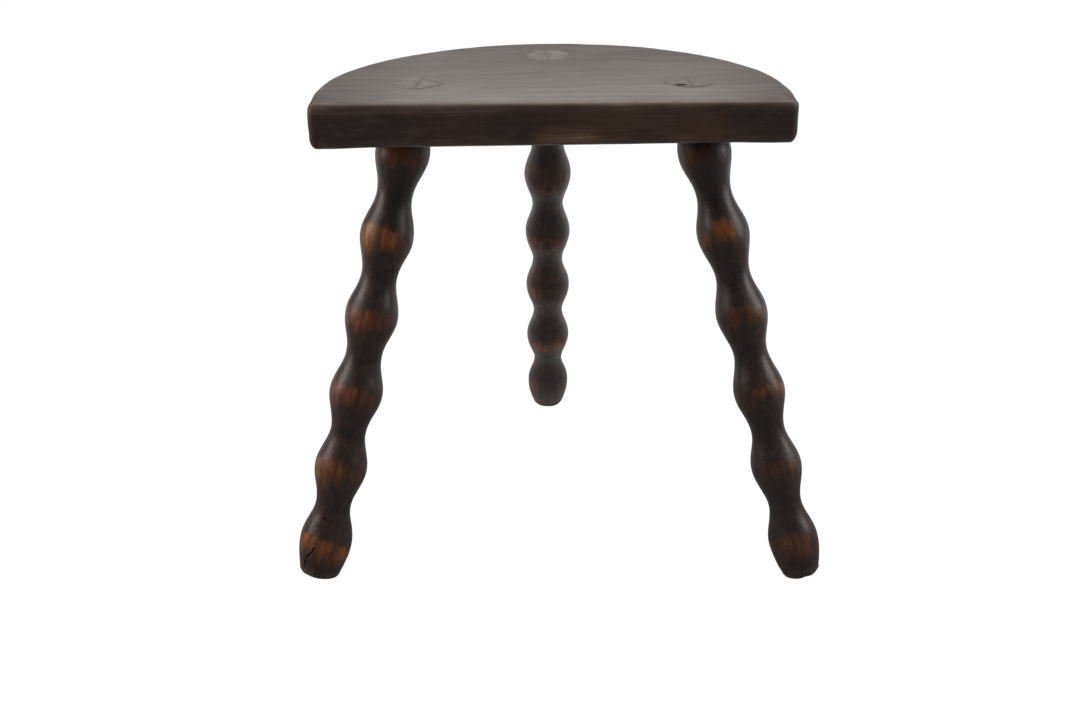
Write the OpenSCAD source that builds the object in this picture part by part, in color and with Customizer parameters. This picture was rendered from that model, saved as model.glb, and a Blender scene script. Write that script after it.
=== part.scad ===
// Half-moon stool: one thick seat board on three raked legs, turned as a run of beads.
// Each leg ends in a round tenon that passes right through the board. A saw kerf in the
// tenon's top end holds a wedge, which spreads the tenon in its bore.
// +Z is up, +X is to the right of the straight front edge, and +Y is towards the round back.
// The origin is on the ground, under the middle of the stool.

/* [Seat] */
// Length of the straight front edge
seat_w = 284.5; // [250:0.5:300]
// Depth from the front edge to the top of the round back
seat_d = 165.5; // [155:0.5:180]
// Thickness of the board
seat_t = 26.5; // [20:0.5:32]
// Height of the seat above the ground
seat_h = 318.5; // [280:0.5:360]
// Radius of the round back
arc_r = 143.5; // [138:0.5:155]
// How far the round back is centred to the left of the front edge's middle
arc_skew = 2.5; // [0:0.5:6]
// Radius of the flatter stretch where the round back meets each side
side_r = 200; // [150:5:300]
// Distance behind the front edge at which that stretch is widest
side_y = 28; // [20:1:45]
// How far that stretch swells beyond the front corner
side_bulge = 0.4; // [0:0.1:2]
// Radius of the two front corners, seen from above
corner_r = 4; // [3.5:0.5:12]
// Radius of the worn edge all round the board, above and below
edge_r = 3; // [1:0.5:3]

/* [Front legs] */
// Distance of each front leg's axis from the middle, at the top of the seat
front_x = 82.1; // [60:0.1:95]
// Distance of the front legs' axes behind the front edge, at the top of the seat
front_y = 48.6; // [35:0.1:60]
// Distance of each front leg's axis from the middle, at the ground
front_foot_x = 162; // [120:1:190]
// How far the front legs' axes come forward of the front edge, at the ground
front_foot_y = 7.2; // [-20:0.1:40]

/* [Back leg] */
// How far the back leg's axis is left of the middle, at the top of the seat
back_x = 4.6; // [-8:0.1:8]
// Distance of the back leg's axis behind the front edge, at the top of the seat
back_y = 125.9; // [110:0.1:132]
// How far the back leg's axis is left of the middle, at the ground
back_foot_x = 11.6; // [-20:0.1:20]
// Distance of the back leg's axis behind the front edge, at the ground
back_foot_y = 252; // [200:0.5:280]

/* [Turning] */
// Number of beads on each leg
beads = 6; // [5:1:7]
// Radius at the middle of a bead
bead_r = 16.3; // [15:0.1:18]
// Radius at the waist between two beads
neck_r = 10.8; // [9:0.1:13]
// Distance down the leg from the top of the seat to the middle of the first bead
first_bead = 43.6; // [38:0.1:50]
// Distance up each leg from its end to the middle of the last bead
foot_len = 23.5; // [16:0.5:30]
// Radius of a leg's square-cut end
foot_r = 12.5; // [9:0.5:14]
// Size of the bevel around a leg's end
foot_bevel = 1.5; // [0.5:0.1:3]
// Depth worn off the lowest point of each foot, where it stands
foot_wear = 0.8; // [0.3:0.1:1.5]

/* [Joinery] */
// Radius of the tenon at the top of each leg
tenon_r = 14; // [12:0.1:15]
// Gap filled by glue between a tenon and its bore
glue_gap = 0.1; // [0.05:0.05:0.3]
// Thickness of a wedge at the top of the seat
wedge_w = 2; // [1.5:0.1:4]
// Thickness of a wedge at its lower edge
wedge_tip = 0.8; // [0.5:0.1:1.4]
// Depth of a wedge below the top of the seat
wedge_depth = 18; // [10:0.5:20]
// Turn of each wedge from straight across the board's grain
kerf_turn = 6; // [0:1:15]

/* [Hidden] */
$fn = 96;
seat_brown = [0.27, 0.19, 0.15];
leg_brown = [0.22, 0.13, 0.09];
wedge_brown = [0.36, 0.29, 0.25];

// Steps from one bead to the next, over the shoulder above the first bead, in the worn edge's
// quarter round, and from the last bead to a leg's end
bead_steps = 8;
shoulder_steps = 4;
edge_steps = 3;
foot_steps = 5;
// Facets round the sides' long arcs and the small front corners
side_facets = 144;
corner_facets = 32;
// Length of plain tenon just below the board, above the shoulder
tenon_spare = 1;
// Length by which cutting shapes run past the surfaces that they cut
over = 10;

// Each leg's axis runs from a point at the top of the seat to a point on the ground.
// These are measured from the middle of the front edge, before the stool is centred.
front_top = [front_x, front_y, seat_h];
front_foot = [front_foot_x, -front_foot_y, 0];
back_top = [-back_x, back_y, seat_h];
back_foot = [-back_foot_x, back_foot_y, 0];

function along(top, foot) = (foot - top) / norm(foot - top);
function mirrored(p) = [-p.x, p.y, p.z];

// Distance from the top of the seat to the end of a leg that leans in direction dir
function leg_end(dir) =
    (seat_h + foot_wear - (foot_r - foot_bevel) * sqrt(1 - dir.z * dir.z)) / -dir.z;

shoulder = seat_t + tenon_spare;

// Distance from one bead's middle to the next, for a leg that ends at distance end
function bead_pitch(end) = (end - foot_len - first_bead) / (beads - 1);

// Radius of the leg at distance s down its axis: across the beads, above them and below them
function swell_r(s, end) =
    neck_r + (bead_r - neck_r) * (1 + cos(360 * (s - first_bead) / bead_pitch(end))) / 2;
function shoulder_r(s) =
    tenon_r + (bead_r - tenon_r) * (1 - cos(180 * (s - shoulder) / (first_bead - shoulder))) / 2;
function toe_r(s, end) =
    foot_r + (bead_r - foot_r) * cos(90 * (s - end + foot_len) / (foot_len - foot_bevel));

// Outline of one half of the leg, from the tenon's end down to the foot, as [radius, distance]
function leg_outline(end) = concat(
    [[0, -over], [tenon_r, -over]],
    [for (i = [0:shoulder_steps - 1]) let (s = shoulder + (first_bead - shoulder) * i / shoulder_steps)
        [shoulder_r(s), s]],
    [for (i = [0:bead_steps * (beads - 1)]) let (s = first_bead + i * bead_pitch(end) / bead_steps)
        [swell_r(s, end), s]],
    [for (i = [1:foot_steps]) let (s = end - foot_len + (foot_len - foot_bevel) * i / foot_steps)
        [toe_r(s, end), s]],
    [[foot_r - foot_bevel, end], [0, end]]
);

// The stool is centred from front to back between its front feet and its back foot
function reach(top, dir, side) = [for (p = leg_outline(leg_end(dir)))
    top.y + dir.y * p[1] + side * p[0] * sqrt(1 - dir.y * dir.y)];
front_reach = min(reach(front_top, along(front_top, front_foot), -1));
back_reach = max(reach(back_top, along(back_top, back_foot), 1));
middle = (front_reach + back_reach) / 2;

// Moves children from the front edge's middle to the stool's own origin
module centred() {
    translate([0, -middle, 0]) children();
}

// Turns children, which run along +Z, to lie along direction dir from point top.
// The last turn is about their own axis: it keeps the seams of round parts clear of the kerfs.
module aimed(top, dir) {
    translate(top) rotate([0, acos(dir.z), atan2(dir.y, dir.x)]) rotate([0, 0, 90]) children();
}

// The board's outline, drawn in by inset: a round back, two flatter sides and two front corners
module seat_outline(inset) {
    intersection() {
        translate([-arc_skew, seat_d - arc_r]) circle(arc_r - inset);
        intersection_for (side = [-1, 1])
            translate([side * (seat_w / 2 + side_bulge - side_r), side_y])
                circle(side_r - inset, $fn = side_facets);
        translate([-seat_w, corner_r]) square([2 * seat_w, seat_d]);
    }
    for (side = [-1, 1])
        translate([side * (seat_w / 2 - corner_r), corner_r]) circle(corner_r - inset, $fn = corner_facets);
}

// The board before it is bored, stretched over its outlines so that its edge is worn round
module seat_blank() {
    hull() {
        for (i = [0:edge_steps]) {
            turn = 90 * i / edge_steps;
            drop = edge_r * (1 - cos(turn));
            translate([0, 0, seat_h - seat_t + drop])
                linear_extrude(seat_t - 2 * drop) seat_outline(edge_r * (1 - sin(turn)));
        }
    }
}

// Bore through the board for one tenon
module bore(top, foot) {
    aimed(top, along(top, foot)) translate([0, 0, -seat_t]) cylinder(h = 3 * seat_t, r = tenon_r + glue_gap);
}

// Tapered slab that stands for both the saw kerf and the wedge in it, roughly across the board's grain
module taper(top, foot, turn) {
    dir = along(top, foot);
    translate(top) rotate([0, atan2(-dir.x, -dir.z), 0]) rotate([90, 0, turn])
        linear_extrude(4 * tenon_r, center = true)
            polygon([
                [-wedge_tip / 2, -wedge_depth],
                [wedge_tip / 2, -wedge_depth],
                [wedge_w / 2, 0],
                [wedge_w / 2, over],
                [-wedge_w / 2, over],
                [-wedge_w / 2, 0]
            ]);
}

// Everything above the top of the seat, for trimming tenons and wedges flush
module above_seat() {
    translate([0, 0, seat_h + 2 * over]) cube([3 * seat_w, 4 * seat_w, 4 * over], center = true);
}

// Everything below the ground, for the worn flat under each foot
module below_ground() {
    translate([0, 0, -2 * over]) cube([3 * seat_w, 4 * seat_w, 4 * over], center = true);
}

// One turned leg with its tenon and the kerf in its top
module leg(top, foot, turn) {
    dir = along(top, foot);
    difference() {
        aimed(top, dir) rotate_extrude() polygon(leg_outline(leg_end(dir)));
        taper(top, foot, turn);
        above_seat();
        below_ground();
    }
}

// One wedge, trimmed to the tenon's round side
module wedge(top, foot, turn) {
    difference() {
        intersection() {
            taper(top, foot, turn);
            aimed(top, along(top, foot)) translate([0, 0, -over]) cylinder(h = seat_t + over, r = tenon_r);
        }
        above_seat();
    }
}

module seat_board() {
    color(seat_brown) centred() difference() {
        seat_blank();
        bore(front_top, front_foot);
        bore(mirrored(front_top), mirrored(front_foot));
        bore(back_top, back_foot);
    }
}

module leg_left() {
    color(leg_brown) centred() leg(mirrored(front_top), mirrored(front_foot), -kerf_turn);
}

module leg_right() {
    color(leg_brown) centred() leg(front_top, front_foot, kerf_turn);
}

module leg_back() {
    color(leg_brown) centred() leg(back_top, back_foot, kerf_turn);
}

module wedge_left() {
    color(wedge_brown) centred() wedge(mirrored(front_top), mirrored(front_foot), -kerf_turn);
}

module wedge_right() {
    color(wedge_brown) centred() wedge(front_top, front_foot, kerf_turn);
}

module wedge_back() {
    color(wedge_brown) centred() wedge(back_top, back_foot, kerf_turn);
}

seat_board();
leg_left();
leg_right();
leg_back();
wedge_left();
wedge_right();
wedge_back();
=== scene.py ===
"""Half-moon three-legged stool in dark stained wood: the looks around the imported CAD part.

Lengths are in millimetres in the board's own frame until a mesh is made: +X along the straight front
edge, +Y from that edge towards the round back, +Z up from the ground, and the origin below its middle.
"""

import math
from dataclasses import dataclass

import bmesh
import bpy
import numpy as np
from mathutils import Matrix, Vector, geometry


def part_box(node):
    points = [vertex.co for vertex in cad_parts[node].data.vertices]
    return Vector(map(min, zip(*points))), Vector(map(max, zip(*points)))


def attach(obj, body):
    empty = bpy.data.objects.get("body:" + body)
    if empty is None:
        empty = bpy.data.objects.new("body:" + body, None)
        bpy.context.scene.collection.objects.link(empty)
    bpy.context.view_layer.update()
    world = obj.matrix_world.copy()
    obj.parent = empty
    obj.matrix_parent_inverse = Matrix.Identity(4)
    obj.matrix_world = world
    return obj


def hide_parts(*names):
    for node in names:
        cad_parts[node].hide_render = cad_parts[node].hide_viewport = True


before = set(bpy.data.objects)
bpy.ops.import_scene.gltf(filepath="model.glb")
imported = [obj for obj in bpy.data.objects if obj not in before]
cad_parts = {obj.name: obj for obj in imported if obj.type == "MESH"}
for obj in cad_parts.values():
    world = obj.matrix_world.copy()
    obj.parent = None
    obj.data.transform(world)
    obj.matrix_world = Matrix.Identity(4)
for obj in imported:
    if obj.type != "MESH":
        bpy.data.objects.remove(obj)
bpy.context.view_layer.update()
seat_lo, seat_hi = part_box("seat_board")

MM = 0.001
FRONT_EDGE = seat_lo.y
SEAT_H = seat_hi.z / MM
SEAT_D = round((seat_hi.y - seat_lo.y) / MM, 3)
SEAT_T = round((seat_hi.z - seat_lo.z) / MM, 3)

# ---- Other sizes that the CAD model also has ----
SEAT_W = 284.5
ARC_R = 143.5
ARC_SKEW = 2.5
SIDE_R = 200.0
SIDE_Y = 28.0
SIDE_BULGE = 0.4
CORNER_R = 4.0
FRONT_TOP = (82.1, 48.6, SEAT_H)
FRONT_FOOT = (162.0, -7.2, 0)
BACK_TOP = (-4.6, 125.9, SEAT_H)
BACK_FOOT = (-11.6, 252.0, 0)
BEADS = 6
BEAD_R = 16.3
NECK_R = 10.8
FIRST_BEAD = 43.6
FOOT_LEN = 23.5
FOOT_R = 12.5
FOOT_BEVEL = 1.5
FOOT_WEAR = 0.8
TENON_R = 14.0
TENON_SPARE = 1.0
WEDGE_W = 2.0
WEDGE_TIP = 0.8
WEDGE_DEPTH = 18.0
KERF_TURN = 6

# ---- Small irregularities of the real piece ----
SEAT_TILT = 0.85
THICKNESS_TAPER = 1.2
THICK_ENDS = 0.5
FULL_END = 0.9
FULL_SHOULDERS = 0.6
TOP_WEAR = 0.12
# The worn edges' radii. Even at the front corners they stay below CORNER_R, so that no ring folds
TOP_ARRIS = 3.2
LOWER_ARRIS = 3.8
CORNER_WEAR = 0.7
BORE_GAP = 0.06
KERF_GAP = 0.02
TENON_SUNK = 0.05
WEDGE_SUNK = 0.07
# The length over which a leg's taper is counted
TAPER_OVER = 300
# How much lower the front of a bead shows than its sides do, seen from above
LOOK_DOWN = 5
# The radius at which noise is wrapped round a leg
NOISE_R = 14

# ---- How finely the meshes are made ----
OUTLINE_STEPS = 600
# The point that the board's rings shrink towards, above and below, and how far each one reaches from it
HEART = np.array([0, 62.0])
TOP_SHARES = np.linspace(0.03, 0.985, 27)
UNDER_SHARES = (0.985, 0.85, 0.7, 0.5, 0.3, 0.1)
SIDE_LEVELS = (0.88, 0.76, 0.64, 0.5, 0.36, 0.24, 0.12)
ARRIS_STEPS = 9
LEG_TURNS = 112
LEG_STEP = 1.25
BORE_TURNS = 96
SLAB_STEPS = 9
WAVES = 10
CREASE = 40


def row(points):
    """Points in the board's frame, in millimetres, as points in the row frame, in metres."""
    p = np.asarray(points, float) * MM
    p[..., 1] += FRONT_EDGE
    return p


def board(points):
    """The other way round: row-frame metres to the board's frame in millimetres."""
    p = np.array(points, float)
    p[..., 1] -= FRONT_EDGE
    return p / MM


def unit(v):
    """Vectors scaled to a length of 1."""
    return v / np.linalg.norm(v, axis=-1, keepdims=True)


def ripple(points, wavelength, seed, stretch=(1, 1, 1)):
    """Smooth seeded noise between about -1 and 1 at each point: a sum of plane waves."""
    rng = np.random.default_rng(seed)
    directions = unit(rng.normal(size=(WAVES, 3)))
    lengths = wavelength * rng.uniform(0.6, 1.6, WAVES)
    phases = rng.uniform(0, 2 * math.pi, WAVES)
    scaled = np.asarray(points, float) / np.array(stretch, float)
    swings = scaled @ (directions * (2 * math.pi / lengths)[:, None]).T + phases
    return np.sin(swings).sum(1) / math.sqrt(WAVES)


def smooth(x, start, end):
    """0 before start, 1 after end, and a smooth rise between them."""
    t = np.clip((np.asarray(x, float) - start) / (end - start), 0, 1)
    return t * t * (3 - 2 * t)


def between(x, rise, risen, fall, fallen):
    """1 from risen to fall, 0 before rise and after fallen, and smooth in between."""
    return smooth(x, rise, risen) * (1 - smooth(x, fall, fallen))


# ---- Meshes ----


def add_object(name, data):
    """A new object in the scene, with a mesh, a lamp or a camera as its data."""
    obj = bpy.data.objects.new(name, data)
    bpy.context.scene.collection.objects.link(obj)
    return obj


def closed_object(name, points, faces):
    """An object from points in the board's frame, a closed mesh with its faces looking outwards."""
    mesh = bpy.data.meshes.new(name)
    mesh.from_pydata([tuple(p) for p in row(points)], [], faces)
    mesh.validate()
    bm = bmesh.new()
    bm.from_mesh(mesh)
    bmesh.ops.recalc_face_normals(bm, faces=bm.faces)
    bm.to_mesh(mesh)
    bm.free()
    mesh.update()
    return add_object(name, mesh)


def tube_faces(rings, around):
    """Quads between consecutive rings of points, each ring a closed loop."""
    faces = []
    for i in range(rings - 1):
        for j in range(around):
            k = (j + 1) % around
            faces.append((i * around + j, i * around + k, (i + 1) * around + k, (i + 1) * around + j))
    return faces


def closed_tube(name, points, around):
    """An object from equal rings of points, closed by a point in the middle of each end's ring."""
    count = len(points)
    last = count - around
    middles = [points[:around].mean(0), points[last:].mean(0)]
    faces = tube_faces(count // around, around)
    faces += [(count, (j + 1) % around, j) for j in range(around)]
    faces += [(last + j, last + (j + 1) % around, count + 1) for j in range(around)]
    return closed_object(name, np.concatenate([points, middles]), faces)


def subtract(obj, cutter):
    """Cuts one closed mesh out of another, for good."""
    cut = obj.modifiers.new("cut", "BOOLEAN")
    cut.operation = "DIFFERENCE"
    cut.solver = "EXACT"
    cut.object = cutter
    spare = (obj.data, cutter.data)
    settled = obj.evaluated_get(bpy.context.evaluated_depsgraph_get())
    obj.data = bpy.data.meshes.new_from_object(settled)
    obj.modifiers.clear()
    bpy.data.objects.remove(cutter)
    for mesh in spare:
        bpy.data.meshes.remove(mesh)


def shade(obj):
    """Smooth shading with sharp edges where the surface turns by more than CREASE degrees."""
    obj.data.polygons.foreach_set("use_smooth", [True] * len(obj.data.polygons))
    obj.data.set_sharp_from_angle(angle=math.radians(CREASE))


def vertices(obj):
    """The mesh's points in the board's frame."""
    co = np.zeros(len(obj.data.vertices) * 3)
    obj.data.vertices.foreach_get("co", co)
    return board(co.reshape(-1, 3))


def describe(obj, wood, numbers):
    """Writes each point's place in the wood, and other named numbers, for the material to read."""
    layer = obj.data.attributes.new("wood", "FLOAT_VECTOR", "POINT")
    layer.data.foreach_set("vector", np.asarray(wood, np.float32).ravel())
    for name, values in numbers.items():
        layer = obj.data.attributes.new(name, "FLOAT", "POINT")
        layer.data.foreach_set("value", np.asarray(values, np.float32))


# ---- The legs ----


@dataclass
class Leg:
    """One leg: its axis, its own small differences, and where a point lies on it."""

    side: str
    top: tuple
    foot: tuple
    seed: int
    kerf_turn: float
    # How far down it its beads are set, how much it widens downwards, and how much stouter it is
    shift: float
    taper: float
    stout: float
    # How far its stain is worn, browned and banded, and how pale its tenon's end and its foot are
    worn: float
    tint: float
    banded: float
    chalk: float
    dust: float
    # How far it bows to the right, and how far its foot is cut askew
    bow: float = 0
    slant: float = 0

    def __post_init__(self):
        self.top = np.array(self.top, float)
        self.axis = unit(np.array(self.foot, float) - self.top)
        toward_front = np.array([0.0, -1.0, 0.0])
        self.front = unit(toward_front - self.axis * (toward_front @ self.axis))
        self.right = np.cross(self.front, self.axis)
        self.right *= math.copysign(1, self.right[0])
        lean = math.sqrt(1 - self.axis[2] ** 2)
        self.end = (SEAT_H + FOOT_WEAR - (FOOT_R - FOOT_BEVEL) * lean) / -self.axis[2]
        self.last_bead = self.end - FOOT_LEN
        self.pitch = (self.last_bead - FIRST_BEAD) / (BEADS - 1)
        self.kerf_turn = math.radians(self.kerf_turn)

    def at(self, s, turn, r):
        """The point at distance s down the leg, turned from its front towards its right, at radius r."""
        s, turn, r = (np.asarray(v, float)[..., None] for v in (s, turn, r))
        return self.top + self.axis * s + (self.front * np.cos(turn) + self.right * np.sin(turn)) * r

    def sway(self, s):
        """How far the leg bows to the right of its straight axis at distance s."""
        return self.bow * smooth(s, SEAT_T, SEAT_T + 8) * (2 * smooth(s, 50, 150) - 1)

    def local(self, points):
        """How far points lie to the front and right of the axis, and down it."""
        d = points - self.top
        return np.stack([d @ self.front, d @ self.right, d @ self.axis], 1)


def polar(spot):
    """How far places in a leg's own directions lie from its axis, and how far turned from its front."""
    return np.hypot(spot[:, 0], spot[:, 1]), np.arctan2(spot[:, 1], spot[:, 0])


def mirrored(p):
    """The same point on the other side of the middle."""
    return (-p[0], p[1], p[2])


LEGS = [
    Leg("left", mirrored(FRONT_TOP), mirrored(FRONT_FOOT), 3, -KERF_TURN, shift=-0.7, taper=0.035,
        stout=0.6, worn=0.75, tint=0.9, banded=0.15, chalk=0.6, dust=0.92, bow=0.6),
    Leg("right", FRONT_TOP, FRONT_FOOT, 5, KERF_TURN, shift=0.3, taper=-0.019,
        stout=0.05, worn=0.4, tint=0.6, banded=0.1, chalk=0.1, dust=0.75, slant=1.5),
    Leg("back", BACK_TOP, BACK_FOOT, 8, KERF_TURN, shift=0.7, taper=-0.011,
        stout=0.2, worn=0.5, tint=0.7, banded=0.5, chalk=0.6, dust=0.35),
]


def leg_radius(leg, s):
    """Radius of the turned leg at distance s down its axis."""
    s = np.asarray(s, float)
    t = s - leg.shift
    swell = NECK_R + (BEAD_R - NECK_R) * (1 + np.cos(2 * math.pi * (t - FIRST_BEAD) / leg.pitch)) / 2
    shoulder_top = SEAT_T + TENON_SPARE
    rise = np.clip((t - shoulder_top) / (FIRST_BEAD - shoulder_top), 0, 1)
    shoulder = TENON_R + (BEAD_R - TENON_R) * (1 - np.cos(math.pi * rise)) / 2
    fall = np.clip((t - leg.last_bead) / (FOOT_LEN - FOOT_BEVEL), 0, 1)
    toe = FOOT_R + (BEAD_R - FOOT_R) * np.cos(math.pi / 2 * fall)
    r = np.where(t < FIRST_BEAD, shoulder, np.where(t > leg.last_bead, toe, swell))
    below = smooth(s, SEAT_T, SEAT_T + 6)
    return r * (1 + below * leg.taper * (s - TAPER_OVER / 2) / TAPER_OVER) + below * leg.stout


def bead_place(leg, s):
    """The nearest bead's number, from 1 at the seat, and the distance below its middle."""
    t = (np.asarray(s, float) - leg.shift - FIRST_BEAD) / leg.pitch
    number = np.clip(np.round(t), 0, BEADS - 1)
    return number + 1, (t - number) * leg.pitch


# Where the stain has rubbed through on each leg: the bead, from the left (0) to the right (1) side seen
# from in front, from above to below the bead's middle in mm, how strong it is, and how red.
RUBBED = {
    "left": [
        (1, 0.10, 0.84, 0, 12, 0.46, 0.95),
        (2, 0.09, 0.33, -3, 17, 0.98, 0.15),
        (2, 0.44, 0.76, -1, 13, 1.0, 0.6),
        (3, 0.08, 0.22, 0, 9, 0.45, 0.5),
        (3, 0.22, 0.34, 1, 14, 0.60, 0.9),
        (3, 0.36, 0.57, 0, 13, 0.72, 0.9),
        (3, 0.66, 0.82, 2, 10, 0.25, 0.9),
        (4, 0.07, 0.25, -3, 12, 0.62, 0.5),
        (4, 0.32, 0.55, -1, 11, 0.42, 0.8),
        (4, 0.58, 0.86, 0, 9, 0.15, 0.6),
        (5, 0.03, 0.15, -3, 15, 0.70, 0.3),
        (5, 0.16, 0.39, -4, 18, 0.52, 0.7),
        (5, 0.42, 0.66, 0, 16, 0.34, 0.4),
        (5, 0.70, 0.92, 1, 10, 0.25, 0.9),
        (6, 0.02, 0.30, -2, 11, 0.80, 0.4),
        (6, 0.38, 0.70, 0, 20, 0.66, 0.5),
        (6, 0.74, 0.98, 3, 17, 0.82, 0.5),
    ],
    "right": [
        (1, 0.03, 0.52, 0, 12, 0.34, 0.95),
        (2, 0.32, 0.70, -6, 8, 0.85, 0.45),
        (2, 0.06, 0.24, -3, 9, 0.25, 0.3),
        (3, 0.24, 0.50, -3, 8, 0.28, 0.7),
        (3, 0.56, 0.95, -2, 8, 0.26, 0.9),
        (4, 0.34, 0.75, -1, 4, 0.48, 0.4),
        (4, 0.79, 0.97, -2, 3, 0.42, 0.4),
        (5, 0.32, 0.68, -2, 7, 0.08, 0.8),
        (5, 0.73, 0.88, -1, 5, 0.34, 0.4),
        (6, 0.26, 0.80, -3, 14, 0.24, 0.6),
    ],
    "back": [
        (2, 0.30, 0.70, 8, 17, 0.20, 0.5),
        (3, 0.08, 0.92, 3, 9, 0.20, 0.9),
        (3, 0.25, 0.80, 9, 20, 0.14, 0.2),
        (4, 0.08, 0.36, -4, 9, 0.32, 0.4),
        (5, 0.12, 0.86, 2, 15, 0.50, 0.3),
        (6, 0.06, 0.26, -5, 12, 0.24, 0.4),
    ],
}


def side_angle(across):
    """The turn from a leg's front at which a point shows at this fraction of the leg's width."""
    return math.asin(2 * across - 1)


def hidden_rubs(leg):
    """Seeded rubbed places on the half of a leg that is turned away from the front."""
    rng = np.random.default_rng(100 + leg.seed)
    found = []
    for bead in range(1, BEADS + 1):
        start = rng.uniform(0.55, 0.75) * math.pi
        while start < 1.35 * math.pi:
            width = rng.uniform(0.08, 0.24) * math.pi
            top = rng.uniform(-4, 3)
            depth = rng.uniform(8, 18)
            strength = rng.uniform(0.15, 0.8)
            hue = rng.uniform(0.2, 0.9)
            found.append((bead, start, start + width, top, top + depth, strength, hue))
            start += width + rng.uniform(0.03, 0.2) * math.pi
    return found


def rub_masks(leg, s, turn):
    """How far the stain has rubbed through, how red the wood is there, and how thin the stain is."""
    bead, below = bead_place(leg, s)
    places = [(b, side_angle(f0), side_angle(f1), *rest) for b, f0, f1, *rest in RUBBED[leg.side]]
    round_leg = np.stack([np.cos(turn) * NOISE_R, np.sin(turn) * NOISE_R, s], 1)
    ragged = ripple(round_leg, 5, leg.seed + 40, (1, 1, 7))
    uneven = ripple(round_leg, 7, leg.seed + 41, (1, 1, 1.6))
    seen = below + LOOK_DOWN * np.maximum(np.cos(turn), 0)
    rub = np.zeros(len(s))
    red = np.zeros(len(s))
    for b, start, end, high, low, strength, hue in places + hidden_rubs(leg):
        offset = (turn - (start + end) / 2 + math.pi) % (2 * math.pi) - math.pi
        half = (end - start) / 2
        across = 1 - smooth(np.abs(offset) + 0.05 * ragged + 0.04 * uneven, half - 0.18, half + 0.16)
        head = smooth(seen + 0.5 * ragged + 0.7 * uneven, high - 2.4, high + 1.6)
        tail = 1 - smooth(seen + 1.3 * ragged + uneven, high + 0.4 * (low - high), low + 3)
        mask = strength * across * head * tail * (bead == b) * np.clip(0.92 + 0.16 * uneven, 0, 1.1)
        red = np.where(mask > rub, hue, red)
        rub = np.maximum(rub, mask)
    # A thinner, browner stain all round the middle and underside of each bead, and in loose bands
    band = smooth(seen + uneven, -6, 0) * (1 - smooth(seen + 1.5 * uneven, 7, 18))
    patchy = ripple(round_leg, 16, leg.seed + 42, (1, 1, 1.5))
    banded = ripple(round_leg * (0.1, 0.1, 1), 9, leg.seed + 43)
    warm = leg.tint * band * np.clip(0.55 + 0.35 * patchy, 0, 1)
    warm = np.maximum(warm, leg.banded * np.clip(0.3 + 0.7 * banded, 0, 1))
    return rub, red, warm


# Small dark knots on the back leg: the bead, how far across from the left side to the right, how far
# below the bead's middle, and the size
KNOTS = [(2, 0.54, 7, 2.4), (3, 0.52, 6.5, 3.5), (3, 0.30, 11, 1.3), (4, 0.40, 6, 1.6), (6, 0.55, 6, 1.3)]


def knots(leg, s, turn):
    """How dark each point is with knots, and how thin the stain is round them."""
    dark = np.zeros(len(s))
    halo = np.zeros(len(s))
    if leg.side == "back":
        bead, below = bead_place(leg, s)
        for b, across, under, size in KNOTS:
            away = (turn - side_angle(across)) * BEAD_R
            gap = np.hypot(away, below + LOOK_DOWN - under)
            gap += 0.4 * ripple(np.stack([away, s, s], 1), 3, 61)
            ring = np.abs(gap - 1.7 * size)
            dark = np.maximum(dark, (1 - smooth(gap, 0.45 * size, 1.3 * size)) * (bead == b))
            halo = np.maximum(halo, (1 - smooth(ring, 0.2 * size, 0.7 * size)) * (bead == b))
    return dark, halo


def leg_mesh(leg):
    """The whole turned leg, from the tenon's end, flush with the seat, to the worn foot."""
    turns = np.arange(LEG_TURNS) * 2 * math.pi / LEG_TURNS
    toe = leg.end - FOOT_BEVEL
    toe_r = float(leg_radius(leg, toe))
    # Rings of points, as distances down the leg and radii
    tenon_end = [(0.0, TENON_R * k) for k in (0.1, 0.25, 0.45, 0.65, 0.85, 0.96, 1)]
    rings = tenon_end + [(s, TENON_R) for s in np.linspace(6.5, SEAT_T - 0.5, 6)]
    for s in np.linspace(SEAT_T, toe, round((toe - SEAT_T) / LEG_STEP)):
        rings.append((s, float(leg_radius(leg, s))))
    for a in np.radians([22, 45, 68, 90]):
        rings.append((leg.end - FOOT_BEVEL * (1 - math.sin(a)), toe_r - FOOT_BEVEL * (1 - math.cos(a))))
    rings += [(leg.end, (toe_r - FOOT_BEVEL) * k) for k in (0.85, 0.65, 0.45, 0.25, 0.1)]
    points = np.concatenate([leg.at(s, turns, r) for s, r in rings])
    spot = leg.local(points)
    s = spot[:, 2]
    r, turn = polar(spot)
    turned = smooth(s, SEAT_T, SEAT_T + 8)
    foot = smooth(s, leg.end - 7, leg.end - 1)
    # Slight ovality, lathe chatter and dents, and a ragged, worn rim on the foot
    out = (spot[:, :1] * leg.front + spot[:, 1:2] * leg.right) / np.maximum(r, 1e-6)[:, None]
    uneven = 0.16 * ripple(points, 70, leg.seed) + 0.07 * ripple(points, 16, leg.seed + 1)
    uneven += 0.1 * np.cos(2 * turn + leg.seed)
    uneven += foot * (0.16 * ripple(points, 9, leg.seed + 2) - 0.12)
    points = points + out * (uneven * turned * smooth(r, 2, 8))[:, None]
    points = points + leg.right * leg.sway(s)[:, None]
    chips = foot * smooth(r, 7, 11) * 0.3 * ripple(points, 11, leg.seed + 3)
    # A foot that is cut askew is longer at the front
    askew = leg.slant * smooth(s, leg.end - 14, leg.end - 2) * spot[:, 0] / FOOT_R
    points = points + leg.axis * (askew - np.maximum(chips, 0))[:, None]
    # The tenon's end is trimmed along the axis to the top of the seat, and the foot to the ground
    trimmed = np.arange(len(points)) < len(tenon_end) * LEG_TURNS
    top = seat_top(points[:, 0]) - TENON_SUNK
    points = points + leg.axis * np.where(trimmed, (top - points[:, 2]) / leg.axis[2], 0)[:, None]
    points[:, 2] = np.maximum(points[:, 2], 0)
    return closed_tube(f"turned_leg_{leg.side}", points, LEG_TURNS)


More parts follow.
